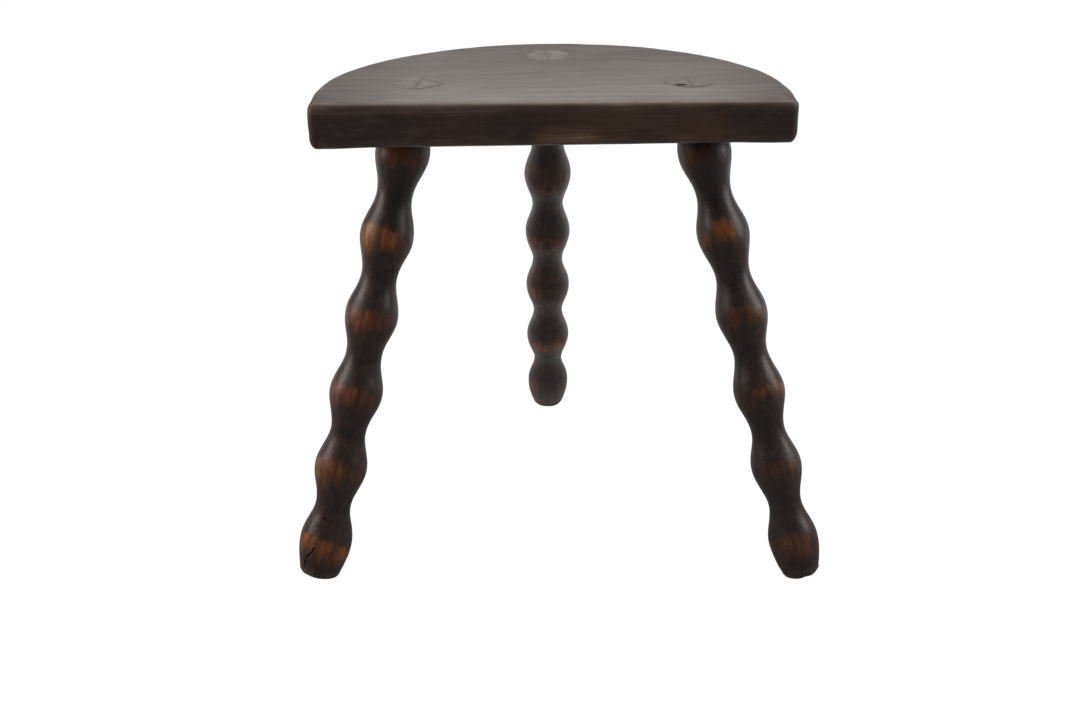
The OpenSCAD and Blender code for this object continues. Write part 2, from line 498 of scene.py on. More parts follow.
def slab(leg, name, gap, rise, reach):
    """The wedge's tapered slab, grown by gap, from its lower edge to rise above the seat."""
    across = np.array([math.cos(leg.kerf_turn), math.sin(leg.kerf_turn), 0])
    along = np.array([-across[1], across[0], 0])
    down = leg.axis / -leg.axis[2]
    points = []
    for depth, width in ((-rise, WEDGE_W), (0, WEDGE_W), (WEDGE_DEPTH, WEDGE_TIP)):
        half = width / 2 + gap
        for way in np.linspace(-1, 1, SLAB_STEPS):
            middle = leg.top + down * depth + along * way * reach
            bow = 0.12 * math.sin(3.1 * way + leg.seed)
            points += [middle + across * (half + bow), middle - across * (half - bow)]
    level = 2 * SLAB_STEPS
    faces = []
    for a in (0, level):
        b = a + level
        for i in range(0, level - 2, 2):
            faces.append((a + i, a + i + 2, b + i + 2, b + i))
            faces.append((a + i + 1, b + i + 1, b + i + 3, a + i + 3))
        for i in (0, level - 2):
            faces.append((a + i, a + i + 1, b + i + 1, b + i))
    for i in range(0, level - 2, 2):
        faces.append((i, i + 1, i + 3, i + 2))
        c = 2 * level + i
        faces.append((c, c + 2, c + 3, c + 1))
    return closed_object(name, points, faces)


def bore(leg):
    """A cutter for a leg's bore through the board, slightly out of round."""
    turn = np.arange(BORE_TURNS) * 2 * math.pi / BORE_TURNS
    gap = BORE_GAP * (0.5 + 0.5 * np.sin(2 * turn + leg.seed) * np.cos(3 * turn + 1))
    rings = [leg.at(s, turn, TENON_R + 0.01 + gap) for s in (-20, 50)]
    return closed_tube("bore", np.concatenate(rings), BORE_TURNS)


def lens(name, centre, half):
    """A closed lens-shaped cutter with the given half sizes."""
    bm = bmesh.new()
    bmesh.ops.create_icosphere(bm, subdivisions=3, radius=1)
    bm.verts.index_update()
    points = [np.array(v.co) * half + centre for v in bm.verts]
    faces = [[v.index for v in face.verts] for face in bm.faces]
    bm.free()
    return closed_object(name, points, faces)


def groove(leg, name, path, width, depth):
    """A cutter for a crack or scratch along a path of (across, below the last bead's middle)."""
    across, below = np.array(path, float).T
    fine = np.linspace(0, len(path) - 1, 4 * len(path))
    turn = np.arcsin(2 * np.interp(fine, range(len(path)), across) - 1)
    s = leg.last_bead + np.interp(fine, range(len(path)), below)
    taper = np.sqrt(np.clip(1 - (2 * fine / fine[-1] - 1) ** 4, 0.02, 1))[:, None]
    middle = leg.at(s, turn, leg_radius(leg, s)) + leg.right * leg.sway(s)[:, None]
    out = leg.front * np.cos(turn)[:, None] + leg.right * np.sin(turn)[:, None]
    aside = np.cross(unit(np.gradient(middle, axis=0)), out) * width / 2 * taper
    lifted = middle + out * 0.8
    rings = np.stack([lifted + aside, lifted - aside, middle - out * depth * taper], 1)
    points = rings.reshape(-1, 3)
    faces = tube_faces(len(fine), 3) + [(0, 1, 2), tuple(range(len(points) - 3, len(points)))]
    return closed_object(name, points, faces)


# Cracks and scratches: the leg, the path from its upper to its lower end, and how wide and deep they are
CUTS = [
    ("left", [(0.37, -1), (0.32, 1), (0.30, 4), (0.22, 8), (0.17, 14), (0.13, 19)], 1.4, 2.0),
    ("left", [(0.24, -19.6), (0.38, -19.0), (0.56, -19.5)], 1.3, 0.9),
    ("left", [(0.20, -14.6), (0.38, -14.2), (0.58, -14.8)], 1.3, 0.9),
    ("left", [(0.56, -192), (0.70, -191.5), (0.90, -192)], 1.2, 0.9),
]


# The drying split in the right tenon's end: where it lies from the middle of the end, and its half sizes
SPLIT_AT = (-5, -9.2, -0.3)
SPLIT_HALF = (4.0, 1.9, 3.0)


def describe_leg(obj, leg):
    """Writes what the leg's material needs to know at each point."""
    points = vertices(obj)
    spot = leg.local(points)
    s = spot[:, 2]
    spot[:, 1] -= leg.sway(s)
    r, turn = polar(spot)
    rub, red, warm = rub_masks(leg, s, turn)
    knot, halo = knots(leg, s, turn)
    # Grime lies in the necks and on the upper side of each bead; close under the board the darkening is
    # painted shade from the seat
    bead, below = bead_place(leg, s)
    neck = smooth(np.abs(below), 0.22 * leg.pitch, 0.42 * leg.pitch)
    upper = smooth(-below, 2, 14) * (bead > 1)
    # Painted shade in the few millimetres just under the board
    seat_shade = 1 - smooth(s, SEAT_T + 1, SEAT_T + 4)
    grime_and_seat_shade = np.clip(0.75 * neck + 0.5 * upper + 0.5 * seat_shade, 0, 1)
    top = seat_top(points[:, 0])
    flush = smooth(points[:, 2], top - 0.6, top - 0.2)
    foot = smooth(s, leg.end - 6.5, leg.end - 2.5)
    sole = smooth(-r, -FOOT_R, -FOOT_R + 2) * (s > leg.end - 0.8)
    turned = (s > SEAT_T + 5) & (s < leg.end - FOOT_BEVEL - 0.3)
    describe(obj, spot * MM + (0, 0, 0.37 * leg.seed), {
        "rub": rub * (1 - foot) * (s > SEAT_T),
        "red": red,
        "warm": np.maximum(warm, halo) * (1 - foot),
        "chalk": leg.chalk * (points[:, 2] > SEAT_H - 3),
        # Points sunk in cracks and scratches, where the colour is darkened with painted shade
        "cut": smooth(leg_radius(leg, s) - r, 0.45, 0.75) * turned * smooth(r, 7, 8),
        "worn": leg.worn * smooth(s, -60, 260),
        "knot": knot,
        "grime_and_seat_shade": grime_and_seat_shade * (1 - flush),
        "foot": np.maximum(foot, sole),
        "dust": leg.dust * np.maximum(foot, sole),
        "end": np.maximum(flush, sole),
        "rim": smooth(r, TENON_R - 0.9, TENON_R - 0.2) * flush,
    })


def wedge_mesh(leg):
    """One wedge, reaching to its tenon's side and flush with the seat."""
    lean = leg.axis[1] * math.cos(leg.kerf_turn) - leg.axis[0] * math.sin(leg.kerf_turn)
    obj = slab(leg, f"tenon_wedge_{leg.side}", 0, 0, TENON_R / math.sqrt(1 - lean * lean) - 0.08)
    points = vertices(obj)
    top = points[:, 2] > SEAT_H - 1
    points[:, 2] = np.where(top, seat_top(points[:, 0]) - WEDGE_SUNK, points[:, 2])
    obj.data.vertices.foreach_set("co", row(points).ravel())
    describe(obj, points * MM, {})
    return obj


# ---- The seat ----


def seat_top(x):
    """Height of the slightly tilted top at x."""
    return SEAT_H - SEAT_TILT * np.asarray(x, float) / (SEAT_W / 2)


def seat_bottom(x):
    """Height of the underside: the board is thinner towards the right, and thicker at each end."""
    x = np.asarray(x, float)
    thinner = THICKNESS_TAPER * x / (SEAT_W / 2) - THICK_ENDS * smooth(np.abs(x), 105, 132)
    return seat_top(x) - SEAT_T + thinner


def eased(loop, reach=14):
    """A closed loop of vectors, each one averaged with its neighbours on both sides."""
    return np.mean([np.roll(loop, k, axis=0) for k in range(-reach, reach + 1)], axis=0)


def seat_outline():
    """Points round the board, closest together at its front corners, and the outward normals there."""
    side_x = SIDE_R - SIDE_BULGE - SEAT_W / 2
    circles = [(-ARC_SKEW, SEAT_D - ARC_R, ARC_R), (side_x, SIDE_Y, SIDE_R), (-side_x, SIDE_Y, SIDE_R)]
    turns = np.radians(np.arange(0, 360, 0.05))
    ring = np.stack([np.cos(turns), np.sin(turns)], 1)
    cloud = np.concatenate([ring * r + (x, y) for x, y, r in circles])
    inside = cloud[:, 1] > CORNER_R
    for x, y, r in circles:
        inside &= np.hypot(cloud[:, 0] - x, cloud[:, 1] - y) < r + 0.001
    corners = [ring * CORNER_R + (side * (SEAT_W / 2 - CORNER_R), CORNER_R) for side in (-1, 1)]
    cloud = np.concatenate([cloud[inside], *corners])
    hull = cloud[geometry.convex_hull_2d([tuple(p) for p in cloud])]
    if np.cross(hull[1] - hull[0], hull[2] - hull[1]) < 0:
        hull = hull[::-1]
    loop = np.concatenate([hull, hull[:1]])
    walked = np.concatenate([[0], np.cumsum(np.linalg.norm(np.diff(loop, axis=0), axis=1))])

    def along(place):
        """The points at these distances round the loop."""
        return np.stack([np.interp(place, walked, loop[:, i]) for i in (0, 1)], 1)

    fine = np.linspace(0, walked[-1], 8 * OUTLINE_STEPS, endpoint=False)
    x, y = along(fine).T
    weight = np.cumsum(1 + 5 * (np.hypot(np.abs(x) - SEAT_W / 2, y) < 7))
    picks = np.interp(np.linspace(0, weight[-1], OUTLINE_STEPS, endpoint=False), weight, fine)
    at = along(picks)
    tangent = unit(along((picks + 0.6) % walked[-1]) - along((picks - 0.6) % walked[-1]))
    normal = np.stack([tangent[:, 1], -tangent[:, 0]], 1)
    # The saw's own wander: a little fuller at the right end, and at both shoulders of the round back
    right_end = smooth(at[:, 0], 60, 120) * between(at[:, 1], 4, 24, 80, 105)
    shoulders = between(at[:, 1], 70, 92, 104, 130)
    at = at + normal * (FULL_END * right_end + FULL_SHOULDERS * shoulders)[:, None]
    # It has no corner where the flatter sides meet the round back
    round_part = smooth(at[:, 1], 26, 46)[:, None]
    at = at + (eased(at) - at) * round_part
    normal = normal + (eased(normal) - normal) * round_part
    return at, unit(normal)


def seat_mesh():
    """The board: crowned by wear, soft round its edges, and bored for the three tenons."""
    at, normal = seat_outline()
    # The worn edges are rounder at both front corners, apart from the fall of the top at the right one
    corner = smooth(np.abs(at[:, 0]), SEAT_W / 2 - 18, SEAT_W / 2 - 2) * (1 - smooth(at[:, 1], 8, 26))
    top_r = TOP_ARRIS + CORNER_WEAR * corner
    low_r = LOWER_ARRIS + 0.1 * corner
    top_fall = top_r * (1 + CORNER_WEAR * corner * (at[:, 0] < 0))
    low_rise = low_r * (1 + CORNER_WEAR * corner)
    slopes = np.radians(np.linspace(0, 90, ARRIS_STEPS))
    # Rings of points with their heights, from the top's middle over the edge to the underside's
    rings = []
    for k in TOP_SHARES:
        flat = HEART + (at - normal * top_r[:, None] - HEART) * k
        rings.append((flat, seat_top(flat[:, 0])))
    for a in slopes:
        flat = at - normal * (top_r * (1 - math.sin(a)))[:, None]
        rings.append((flat, seat_top(flat[:, 0]) - top_fall * (1 - math.cos(a))))
    high = seat_top(at[:, 0]) - top_fall
    low = seat_bottom(at[:, 0]) + low_rise
    rings += [(at, low + (high - low) * k) for k in SIDE_LEVELS]
    for a in slopes[::-1]:
        flat = at - normal * (low_r * (1 - math.sin(a)))[:, None]
        rings.append((flat, seat_bottom(flat[:, 0]) + low_rise * (1 - math.cos(a))))
    for k in UNDER_SHARES:
        flat = HEART + (at - normal * low_r[:, None] - HEART) * k
        rings.append((flat, seat_bottom(flat[:, 0])))
    points = np.concatenate([np.column_stack(ring) for ring in rings])
    ring_no = np.repeat(np.arange(len(rings)), OUTLINE_STEPS)
    first_edge = len(TOP_SHARES)
    on_top = ring_no < first_edge + ARRIS_STEPS
    on_edge = (ring_no >= first_edge) & (ring_no < len(rings) - len(UNDER_SHARES))
    out = np.tile(np.column_stack([normal, np.zeros(len(normal))]), (len(rings), 1))
    wander = 0.16 * ripple(points, 60, 21, (1, 1, 0.6)) + 0.08 * ripple(points, 13, 22, (1.6, 1.6, 0.6))
    points = points + out * (wander * on_edge)[:, None]
    hollow = 0.1 * ripple(points, 120, 23) + 0.05 * ripple(points, 30, 24, (2.5, 1, 1))
    points[:, 2] += on_top * (hollow - TOP_WEAR)
    chafed = on_top & (ring_no >= first_edge - 2)
    points[:, 2] -= chafed * 0.08 * np.maximum(ripple(points, 17, 25), 0)
    obj = closed_tube("half_moon_seat", points, OUTLINE_STEPS)
    for leg in LEGS:
        subtract(obj, bore(leg))
    return obj


# Rubbed places on the board's front face: from and to along the edge, from and to above the
# underside, and how strong each is
FRONT_RUBS = [
    (-6, 28, -2, 10, 1.0),
    (28, 44, -2, 5, 0.25),
    (66, 80, -2, 5, 0.60),
    (-72, -60, -2, 4, 0.30),
    (34, 70, 7, 20, 0.22),
    (86, 118, 1, 6, 0.30),
    (-132, -30, 20, 23, 0.30),
]


def describe_seat(obj):
    """Writes what the board's material needs to know at each point."""
    points = vertices(obj)
    x, y, z = points.T
    depth = seat_top(x) - z
    lift = z - seat_bottom(x)
    ragged = ripple(points, 7, 31, (3, 1, 1))
    on_front = smooth(-y, -5, -1.5)
    along = x + 2 * ragged
    up = lift + 0.8 * ragged
    rub = np.zeros(len(points))
    for x0, x1, z0, z1, strength in FRONT_RUBS:
        soft = min(11, 0.35 * (x1 - x0))
        across = between(along, x0 - soft, x0 + soft, x1 - soft, x1 + soft)
        tall = between(up, z0 - 1, z0 + 1, z1 - 5, z1 + 4)
        rub = np.maximum(rub, strength * across * tall * on_front)
    # Distances from the outline, worked out a tenth of it at a time
    nearest = np.full(len(points), np.inf)
    for part in np.array_split(seat_outline()[0], 10):
        nearest = np.minimum(nearest, np.hypot(x[:, None] - part[:, 0], y[:, None] - part[:, 1]).min(1))
    rim = np.zeros(len(points))
    for leg in LEGS:
        r = polar(leg.local(points))[0]
        rim = np.maximum(rim, 1 - smooth(r, TENON_R + 0.3, TENON_R + 1.6))
    # The top's dust and painted sheen are stronger towards the front, where more light falls, and the
    # front face browner to the right of its middle
    dust_and_sheen = (1 - smooth(y, -10, 175)) * (1 - smooth(np.abs(x - 5), 75, 140))
    dust_and_sheen = np.clip(dust_and_sheen + 0.1 * ripple(points, 55, 33, (2.5, 1, 1)), 0, 1)
    brown = 0.12 + 0.88 * smooth(x + 5 * ragged, -25, 10) * (1 - smooth(x, 92, 114))
    brown = brown * np.clip(0.7 + 0.32 * ripple(points, 30, 34, (2.2, 1, 1)), 0, 1)
    left_brown = 0.5 * between(x, -100, -60, -50, -20)
    # Paler, worn bands along the upper and lower edges of the front face
    up = lift + 0.6 * ragged
    pale = np.maximum(0.9 * smooth(up, SEAT_T - 8, SEAT_T - 1), 0.8 * (1 - smooth(up, 0, 7)))
    pale = pale * np.clip(0.7 + 0.4 * ripple(points, 30, 35, (2.5, 1, 1)), 0, 1)
    describe(obj, points * MM, {
        "rub": rub,
        "low_edge": (1 - smooth(lift, 0.5, 3.5)) * (1 - smooth(nearest, 2, 6)),
        # The top edge is paler where rubbed, and with a painted highlight
        "rubbed_edge_and_highlight": (1 - smooth(depth, 0.6, 3.0)) * (1 - smooth(nearest, 1.5, 4.5)),
        "rim": rim,
        "dust_and_sheen": dust_and_sheen * smooth(-depth, -2.5, -0.8),
        "warm": on_front * np.maximum(brown, left_brown),
        "grey": on_front * (0.2 + 0.22 * (1 - smooth(x, -60, 0))),
        "corner": smooth(np.abs(x), SEAT_W / 2 - 7, SEAT_W / 2 - 2) * (1 - smooth(y, 6, 24)),
        "pale": pale * smooth(-y, -4, -1),
    })


# ---- Materials ----


class Nodes:
    """A short way to write a material's node tree."""

    def __init__(self, name):
        self.material = bpy.data.materials.new(name)
        self.material.use_nodes = True
        self.tree = self.material.node_tree
        self.tree.nodes.clear()
        self.shader = self.tree.nodes.new("ShaderNodeBsdfPrincipled")
        out = self.tree.nodes.new("ShaderNodeOutputMaterial")
        self.tree.links.new(self.shader.outputs[0], out.inputs[0])

    def put(self, value, socket):
        """Links an output to a socket, or sets the socket to a constant."""
        if isinstance(value, bpy.types.NodeSocket):
            self.tree.links.new(value, socket)
        elif isinstance(value, (tuple, list)) and len(value) == 3 and socket.type == "RGBA":
            socket.default_value = (*value, 1)
        else:
            socket.default_value = value

    def give(self, name, value):
        """Sets or links one of the shader's own sockets."""
        self.put(value, self.shader.inputs[name])

    def attribute(self, name, output="Fac"):
        """What the mesh says at each point under this name."""
        node = self.tree.nodes.new("ShaderNodeAttribute")
        node.attribute_name = name
        return node.outputs[output]

    def attributes(self, *names):
        """The numbers that the mesh says under each of these names."""
        return [self.attribute(name) for name in names]

    def math(self, operation, a, b=0.0, clamp=False):
        """One step of arithmetic, kept within 0 and 1 if clamped."""
        node = self.tree.nodes.new("ShaderNodeMath")
        node.operation = operation
        node.use_clamp = clamp
        self.put(a, node.inputs[0])
        self.put(b, node.inputs[1])
        return node.outputs[0]

    def times(self, a, b, clamp=False):
        """Two numbers multiplied."""
        return self.math("MULTIPLY", a, b, clamp)

    def plus(self, a, b, clamp=False):
        """Two numbers added."""
        return self.math("ADD", a, b, clamp)

    def stretched(self, vector, scale):
        """A vector with each of its parts scaled."""
        node = self.tree.nodes.new("ShaderNodeVectorMath")
        node.operation = "MULTIPLY"
        self.put(vector, node.inputs[0])
        node.inputs[1].default_value = scale
        return node.outputs[0]

    def noise(self, vector, scale, detail=3.0, rough=0.6):
        """Fractal noise, around 0.5, with one scale or one for each axis."""
        node = self.tree.nodes.new("ShaderNodeTexNoise")
        if isinstance(scale, tuple):
            vector, scale = self.stretched(vector, scale), 1.0
        self.put(vector, node.inputs["Vector"])
        node.inputs["Scale"].default_value = scale
        node.inputs["Detail"].default_value = detail
        node.inputs["Roughness"].default_value = rough
        return node.outputs["Fac"]

    def ramp(self, value, low, high, start=0.0, end=1.0):
        """Takes value from low..high to start..end, smoothly and without going past them."""
        node = self.tree.nodes.new("ShaderNodeMapRange")
        node.interpolation_type = "SMOOTHSTEP"
        self.put(value, node.inputs["Value"])
        for socket, number in (("From Min", low), ("From Max", high), ("To Min", start), ("To Max", end)):
            node.inputs[socket].default_value = number
        return node.outputs["Result"]

    def mix(self, factor, a, b):
        """Mixes two colours."""
        node = self.tree.nodes.new("ShaderNodeMix")
        node.data_type = "RGBA"
        self.put(factor, node.inputs[0])
        self.put(a, node.inputs[6])
        self.put(b, node.inputs[7])
        return node.outputs[2]

    def tones(self, value, low, high, a, b):
        """One colour where value is low, going over to another where it is high."""
        return self.mix(self.ramp(value, low, high), a, b)

    def over(self, colour, mask, share, tint):
        """A colour with a tint laid over it where mask is 1, up to this share."""
        return self.mix(self.times(mask, share), colour, tint)

    def rings(self, vector, centre, along, spacing, wander):
        """Growth rings round a pith line: 0 in early wood rising to 1 in late wood."""
        bend = self.noise(vector, wander, 2.0, 0.5)
        away = self.tree.nodes.new("ShaderNodeVectorMath")
        away.operation = "SUBTRACT"
        self.put(vector, away.inputs[0])
        away.inputs[1].default_value = centre
        keep = tuple(0.0 if i == along else 1.0 for i in range(3))
        size = self.tree.nodes.new("ShaderNodeVectorMath")
        size.operation = "LENGTH"
        self.put(self.stretched(away.outputs[0], keep), size.inputs[0])
        walked = self.times(size.outputs["Value"], 1 / spacing)
        return self.math("FRACT", self.plus(walked, self.times(bend, 5.0)))

    def bump(self, height, depth, strength=1.0, after=None):
        """A bump of this depth in metres, after another one."""
        node = self.tree.nodes.new("ShaderNodeBump")
        node.inputs["Strength"].default_value = strength
        node.inputs["Distance"].default_value = depth
        self.put(height, node.inputs["Height"])
        if after is not None:
            self.put(after, node.inputs["Normal"])
        return node.outputs["Normal"]


def leg_wood():
    """Turned wood under an old dark stain, rubbed through to orange below each bead's middle."""
    n = Nodes("stained_turned_wood")
    wood = n.attribute("wood", "Vector")
    rub, red, warm, cut, worn, knot = n.attributes("rub", "red", "warm", "cut", "worn", "knot")
    chalk, grime_and_seat_shade, foot, dust, end, rim = n.attributes("chalk", "grime_and_seat_shade", "foot", "dust", "end", "rim")
    fibre = n.noise(wood, (1500, 1500, 45))
    streak = n.noise(wood, (400, 400, 48), 3.0, 0.55)
    pores = n.ramp(n.noise(wood, (2600, 2600, 110), 2.0, 0.5), 0.62, 0.7)
    blotch = n.noise(wood, 55.0)
    ring = n.rings(wood, (0.021, -0.013, 0), 2, 0.0026, (30, 30, 6))
    late = n.ramp(ring, 0.62, 0.97)
    # The stain: near black, a little browner where it lies thin
    stain = n.tones(fibre, 0.35, 0.68, (0.01, 0.0055, 0.0045), (0.026, 0.0145, 0.0118))
    stain = n.mix(n.ramp(blotch, 0.5, 0.72, 0.0, 0.6), stain, (0.032, 0.0165, 0.0125))
    stain = n.over(stain, late, 0.35, (0.007, 0.004, 0.0035))
    mottle = n.noise(wood, 150.0, 4.0, 0.65)
    tinted = n.tones(mottle, 0.38, 0.64, (0.026, 0.0155, 0.0135), (0.066, 0.034, 0.029))
    stain = n.mix(n.plus(n.times(n.ramp(mottle, 0.42, 0.7), 0.25), worn, True), stain, tinted)
    thin = n.tones(streak, 0.36, 0.66, (0.05, 0.02, 0.0095), (0.125, 0.052, 0.024))
    stain = n.mix(warm, stain, thin)
    # The wood under it: orange, redder in places, with dark pores and late wood
    bare = n.tones(streak, 0.3, 0.7, (0.25, 0.085, 0.018), (0.45, 0.19, 0.046))
    bare = n.over(bare, red, 0.8, (0.3, 0.064, 0.015))
    bare = n.over(bare, late, 0.35, (0.16, 0.048, 0.014))
    broken = n.ramp(n.plus(n.times(streak, 0.8), n.times(fibre, 0.5)), 0.44, 0.72)
    shown = n.times(rub, n.plus(n.times(broken, 0.38), 0.6), True)
    colour = n.mix(shown, stain, bare)
    colour = n.over(colour, pores, 0.7, (0.006, 0.004, 0.0035))
    # Darker with grime in the necks and on the upper side of each bead, and with painted shade close
    # under the seat
    colour = n.over(colour, grime_and_seat_shade, 0.3, (0.013, 0.0085, 0.007))
    # Knots dark in their own colour, and cracks and scratches darkened with painted shade
    black = n.math("MAXIMUM", n.times(cut, 0.9), n.times(knot, 0.75))
    colour = n.mix(black, colour, (0.004, 0.003, 0.003))
    # Grey, scuffed end grain at the foot, and the tenon's end greyed like the seat's top with dust and
    # painted sheen
    scuff = n.noise(wood, 700.0)
    sole = n.tones(scuff, 0.4, 0.66, (0.028, 0.019, 0.014), (0.165, 0.115, 0.085))
    colour = n.mix(dust, colour, sole)
    grain = n.noise(wood, (1900, 1900, 60), 2.0)
    face = n.tones(grain, 0.36, 0.66, (0.075, 0.058, 0.05), (0.15, 0.122, 0.108))
    face = n.over(face, late, 0.5, (0.045, 0.03, 0.024))
    pale = n.ramp(n.noise(wood, 110.0, 2.0, 0.5), 0.4, 0.66)
    face = n.mix(n.times(chalk, pale), face, (0.215, 0.2, 0.19))
    flush = n.math("SUBTRACT", end, foot, True)
    colour = n.over(colour, flush, 0.85, face)
    colour = n.over(colour, rim, 0.15, (0.012, 0.009, 0.008))
    n.give("Base Color", colour)
    rough = n.ramp(n.noise(wood, (240, 240, 60)), 0.3, 0.7, 0.38, 0.54)
    rough = n.plus(rough, n.times(foot, 0.25))
    n.give("Roughness", n.plus(rough, n.times(pores, 0.15)))
    n.give("Specular IOR Level", 0.36)
    n.give("Coat Weight", 0.4)
    n.give("Coat Roughness", 0.36)
    # Pores and raised late wood, faint lathe rings, and scuffs
    lathe = n.noise(wood, (25, 25, 900), 1.0, 0.4)
    depth = n.plus(n.times(pores, -1.0), n.times(fibre, 0.5))
    normal = n.bump(depth, 0.00012)
    normal = n.bump(lathe, 0.0001, 0.6, normal)
    normal = n.bump(n.noise(wood, 160.0, 3.0, 0.5), 0.00035, 0.9, normal)
    normal = n.bump(n.noise(wood, (520, 520, 380)), 0.00022, 0.9, normal)
    normal = n.bump(n.times(scuff, foot), 0.0006, 1.0, normal)
    n.give("Normal", normal)
    return n.material


def seat_wood():
    """A stained plank with its grain along the front edge, dusty on top under a painted sheen, and worn
    along its edges, the top edge also with a painted highlight.
    """
    n = Nodes("stained_plank_wood")
    wood = n.attribute("wood", "Vector")
    rub, dust_and_sheen, warm, pale, grey = n.attributes("rub", "dust_and_sheen", "warm", "pale", "grey")
    low_edge, rubbed_edge_and_highlight, rim, corner = n.attributes("low_edge", "rubbed_edge_and_highlight", "rim", "corner")
    fibre = n.noise(wood, (22, 1300, 1300))
    streak = n.noise(wood, (7, 240, 240), 3.0, 0.55)
    pores = n.ramp(n.noise(wood, (70, 2300, 2300), 2.0, 0.5), 0.63, 0.71)
    blotch = n.noise(wood, (14, 34, 34))
    ring = n.rings(wood, (0, 0.075, 0.215), 0, 0.0046, (2.2, 14, 14))
    late = n.ramp(ring, 0.55, 0.98)
    # The stain: dark brown, patchy, browner on parts of the front face
    base = n.tones(fibre, 0.24, 0.78, (0.0235, 0.012, 0.0095), (0.038, 0.02, 0.016))
    base = n.mix(n.ramp(streak, 0.38, 0.74, 0.0, 0.35), base, (0.056, 0.031, 0.024))
    base = n.mix(n.ramp(blotch, 0.46, 0.72, 0.0, 0.6), base, (0.064, 0.035, 0.026))
    base = n.over(base, late, 0.25, (0.02, 0.011, 0.009))
    brown = n.tones(fibre, 0.24, 0.78, (0.074, 0.032, 0.0165), (0.118, 0.054, 0.029))
    base = n.mix(n.times(warm, n.ramp(blotch, 0.34, 0.66, 0.25, 1.0)), base, brown)
    mottle = n.ramp(n.noise(wood, (70, 190, 190), 4.0, 0.65), 0.46, 0.66)
    base = n.mix(n.times(mottle, grey), base, (0.092, 0.068, 0.06))
    # The wood under it, where it is rubbed through
    bare = n.tones(fibre, 0.32, 0.66, (0.16, 0.085, 0.05), (0.3, 0.185, 0.118))
    broken = n.ramp(n.plus(n.times(streak, 0.6), n.times(fibre, 0.6)), 0.46, 0.76)
    shown = n.times(rub, n.plus(n.times(broken, 0.7), 0.4), True)
    colour = n.mix(shown, base, bare)
    # Pale worn bands on the front face, a dull grey on the top that is dust and painted sheen, and paler
    # rubbed edges, the top one also a painted highlight
    faded = n.tones(fibre, 0.3, 0.7, (0.108, 0.073, 0.059), (0.18, 0.128, 0.104))
    colour = n.mix(pale, colour, faded)
    # Dust and a painted sheen: a flat grey laid over the top
    dusty_sheen = n.tones(streak, 0.3, 0.7, (0.144, 0.13, 0.122), (0.188, 0.172, 0.163))
    colour = n.over(colour, dust_and_sheen, 0.9, dusty_sheen)
    wear = n.ramp(n.noise(wood, (60, 160, 160)), 0.38, 0.66)
    colour = n.over(colour, n.times(low_edge, wear), 0.75, (0.2, 0.145, 0.12))
    # The top edge paler with wear and with a painted highlight
    colour = n.over(colour, n.times(rubbed_edge_and_highlight, wear), 0.5, (0.2, 0.135, 0.105))
    colour = n.over(colour, pores, 0.5, (0.014, 0.009, 0.007))
    colour = n.over(colour, rim, 0.22, (0.015, 0.01, 0.009))
    n.give("Base Color", colour)
    rough = n.ramp(n.noise(wood, (30, 150, 150)), 0.3, 0.7, 0.4, 0.5)
    rough = n.plus(rough, n.times(corner, 0.35))
    n.give("Roughness", n.plus(rough, n.times(pores, 0.15)))
    n.give("Coat Weight", 0.25)
    n.give("Coat Roughness", 0.38)
    depth = n.plus(n.times(pores, -1.0), n.times(fibre, 0.4))
    depth = n.plus(depth, n.times(late, 0.3))
    normal = n.bump(depth, 0.00006)
    normal = n.bump(n.noise(wood, (20, 120, 120), 3.0, 0.5), 0.0003, 0.7, normal)
    n.give("Normal", normal)
    return n.material


def wedge_wood():
    """The wedge's end, dark with stain that has soaked in."""
    n = Nodes("stained_wedge_wood")
    wood = n.attribute("wood", "Vector")
    fibre = n.noise(wood, (2200, 500, 300))
    colour = n.tones(fibre, 0.35, 0.66, (0.055, 0.042, 0.036), (0.115, 0.092, 0.08))
    n.give("Base Color", colour)
    n.give("Roughness", 0.48)
    n.give("Coat Weight", 0.3)
    n.give("Coat Roughness", 0.4)
    n.give("Normal", n.bump(fibre, 0.0001))
    return n.material


# ---- The model ----


def dress(obj, material, node):
    """Gives a finished piece its material and body, and hides the plain CAD node that it stands for."""
    obj.data.materials.clear()
    obj.data.materials.append(material)
    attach(obj, "root")
    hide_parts(node)


def build_stool():
    """Every piece of the stool, in place of its plain CAD node."""
    leg_finish = leg_wood()
    wedge_finish = wedge_wood()
    seat = seat_mesh()
    shade(seat)
    describe_seat(seat)
    dress(seat, seat_wood(), "seat_board")
    for leg in LEGS:
        piece = leg_mesh(leg)
        subtract(piece, slab(leg, "kerf", KERF_GAP, 8, TENON_R + 4))
        if leg.side == "right":
            subtract(piece, lens("split", leg.top + SPLIT_AT, SPLIT_HALF))
        for number, (side, path, width, depth) in enumerate(CUTS):
            if side == leg.side:
                subtract(piece, groove(leg, f"cut_{number}", path, width, depth))
        shade(piece)
        describe_leg(piece, leg)
        dress(piece, leg_finish, f"leg_{leg.side}")
        wedge = wedge_mesh(leg)
        shade(wedge)
        dress(wedge, wedge_finish, f"wedge_{leg.side}")


# ---- Camera, floor and light ----

LENS = 43.83
SENSOR = 36
FAR_CLIP = 50
CAMERA_AT = (14.41, -746.13, 504.18)
CAMERA_YAW = -0.03212
CAMERA_PITCH = 0.43761
CAMERA_ROLL = -0.02079


def add_camera():
    """The camera, looking down at the stool from in front."""
    data = bpy.data.cameras.new("camera")
    data.lens = LENS
    data.sensor_width = SENSOR
    data.clip_end = FAR_CLIP
    cam = add_object("camera", data)
    turn = Matrix.Rotation(-CAMERA_YAW, 4, "Z")
    turn = turn @ Matrix.Rotation(math.pi / 2 - CAMERA_PITCH, 4, "X")
    turn = turn @ Matrix.Rotation(CAMERA_ROLL, 4, "Z")
    cam.matrix_world = Matrix.Translation(Vector(row(CAMERA_AT))) @ turn
    bpy.context.scene.camera = cam


